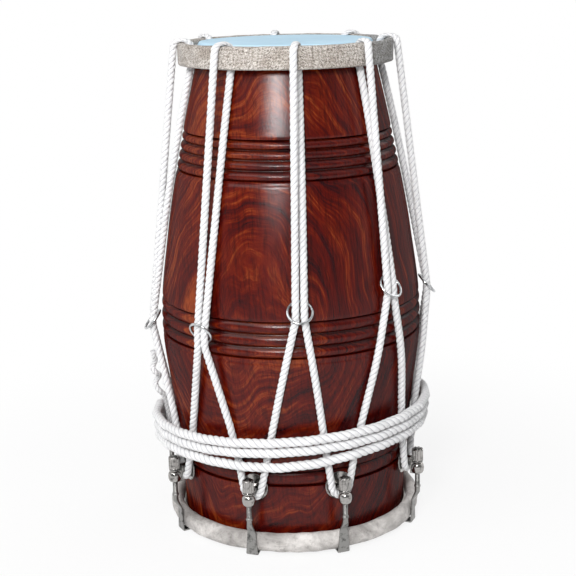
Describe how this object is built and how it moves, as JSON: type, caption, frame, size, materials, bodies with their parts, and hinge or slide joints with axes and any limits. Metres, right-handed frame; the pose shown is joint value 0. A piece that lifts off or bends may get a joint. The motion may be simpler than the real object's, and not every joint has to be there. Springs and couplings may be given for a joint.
{
  "type": "dholak drum",
  "caption": "Two headed barrel drum of turned dark wood, laced with white rope through steel tuning rings to hooks with screw tensioners at the large head.",
  "frame": {"origin": "centre of the outer face of the large head, on which the drum stands", "axes": "+Z along the drum's axis from the large head to the small head, -Y is the front"},
  "size_m": [0.271, 0.2678, 0.4517],
  "materials": {
    "shell_wood": "glossy lacquer",
    "blue_film": "satin",
    "hoop_core": "raw",
    "hoop_canvas": "woven",
    "bass_hide": "matte",
    "bass_wrap": "matte",
    "paste": "matte",
    "cotton_rope": "twisted",
    "plated_steel": "plated",
    "ring_wire": "plated"
  },
  "bodies": {
    "root": {"shell": "shell_wood", "treble_skin": "blue_film", "treble_hoop_core": "hoop_core", "treble_hoop_wrap": "hoop_canvas", "bass_skin": "bass_hide", "bass_hoop_core": "hoop_core", "bass_hoop_wrap": "bass_wrap", "bass_paste": "paste", "lacing_rope": "cotton_rope", "belt_rope": "cotton_rope", "rope_tail_knot": "cotton_rope", "rope_saddle_1": "plated_steel", "hook_bolt_1": "plated_steel", "nut_washer_1": "plated_steel", "rope_saddle_2": "plated_steel", "hook_bolt_2": "plated_steel", "nut_washer_2": "plated_steel", "rope_saddle_3": "plated_steel", "hook_bolt_3": "plated_steel", "nut_washer_3": "plated_steel", "rope_saddle_4": "plated_steel", "hook_bolt_4": "plated_steel", "nut_washer_4": "plated_steel", "rope_saddle_5": "plated_steel", "hook_bolt_5": "plated_steel", "nut_washer_5": "plated_steel", "rope_saddle_6": "plated_steel", "hook_bolt_6": "plated_steel", "nut_washer_6": "plated_steel", "rope_saddle_7": "plated_steel", "hook_bolt_7": "plated_steel", "nut_washer_7": "plated_steel", "rope_saddle_8": "plated_steel", "hook_bolt_8": "plated_steel", "nut_washer_8": "plated_steel"},
    "ring_1": {"tuning_ring_1": "ring_wire"},
    "ring_2": {"tuning_ring_2": "ring_wire"},
    "ring_3": {"tuning_ring_3": "ring_wire"},
    "ring_4": {"tuning_ring_4": "ring_wire"},
    "ring_5": {"tuning_ring_5": "ring_wire"},
    "ring_6": {"tuning_ring_6": "ring_wire"},
    "ring_7": {"tuning_ring_7": "ring_wire"},
    "ring_8": {"tuning_ring_8": "ring_wire"},
    "nut_1": {"tension_nut_1": "plated_steel"},
    "nut_2": {"tension_nut_2": "plated_steel"},
    "nut_3": {"tension_nut_3": "plated_steel"},
    "nut_4": {"tension_nut_4": "plated_steel"},
    "nut_5": {"tension_nut_5": "plated_steel"},
    "nut_6": {"tension_nut_6": "plated_steel"},
    "nut_7": {"tension_nut_7": "plated_steel"},
    "nut_8": {"tension_nut_8": "plated_steel"}
  },
  "joints": [
    {"name": "ring_slide_1", "type": "slide", "parent": "root", "child": "ring_1", "axis": [0.1402, -0.0012, 0.9901], "range_m": [0, 0.012]},
    {"name": "ring_slide_2", "type": "slide", "parent": "root", "child": "ring_2", "axis": [0.1108, 0.1179, 0.9868], "range_m": [0, 0.012]},
    {"name": "ring_slide_3", "type": "slide", "parent": "root", "child": "ring_3", "axis": [0.0106, 0.1574, 0.9875], "range_m": [0, 0.012]},
    {"name": "ring_slide_4", "type": "slide", "parent": "root", "child": "ring_4", "axis": [-0.096, 0.1294, 0.9869], "range_m": [0, 0.012]},
    {"name": "ring_slide_5", "type": "slide", "parent": "root", "child": "ring_5", "axis": [-0.1535, 0.021, 0.9879], "range_m": [0, 0.012]},
    {"name": "ring_slide_6", "type": "slide", "parent": "root", "child": "ring_6", "axis": [-0.1177, -0.0947, 0.9885], "range_m": [0, 0.012]},
    {"name": "ring_slide_7", "type": "slide", "parent": "root", "child": "ring_7", "axis": [-0.0089, -0.1571, 0.9875], "range_m": [0, 0.012]},
    {"name": "ring_slide_8", "type": "slide", "parent": "root", "child": "ring_8", "axis": [0.1023, -0.103, 0.9894], "range_m": [0, 0.012]},
    {"name": "nut_turn_1", "type": "hinge", "parent": "root", "child": "nut_1", "pos_m": [-0.1205, 0.03004, 0.0616], "axis": [0, 0, 1], "range_deg": [-720, 1440]},
    {"name": "nut_turn_2", "type": "hinge", "parent": "root", "child": "nut_2", "pos_m": [-0.11005, -0.05753, 0.0616], "axis": [0, 0, 1], "range_deg": [-720, 1440]},
    {"name": "nut_turn_3", "type": "hinge", "parent": "root", "child": "nut_3", "pos_m": [-0.04043, -0.11742, 0.0616], "axis": [0, 0, 1], "range_deg": [-720, 1440]},
    {"name": "nut_turn_4", "type": "hinge", "parent": "root", "child": "nut_4", "pos_m": [0.0441, -0.11609, 0.0616], "axis": [0, 0, 1], "range_deg": [-720, 1440]},
    {"name": "nut_turn_5", "type": "hinge", "parent": "root", "child": "nut_5", "pos_m": [0.11406, -0.04912, 0.0616], "axis": [0, 0, 1], "range_deg": [-720, 1440]},
    {"name": "nut_turn_6", "type": "hinge", "parent": "root", "child": "nut_6", "pos_m": [0.11514, 0.04652, 0.0616], "axis": [0, 0, 1], "range_deg": [-720, 1440]},
    {"name": "nut_turn_7", "type": "hinge", "parent": "root", "child": "nut_7", "pos_m": [0.04247, 0.11669, 0.0616], "axis": [0, 0, 1], "range_deg": [-720, 1440]},
    {"name": "nut_turn_8", "type": "hinge", "parent": "root", "child": "nut_8", "pos_m": [-0.0583, 0.10965, 0.0616], "axis": [0, 0, 1], "range_deg": [-720, 1440]}
  ]
}
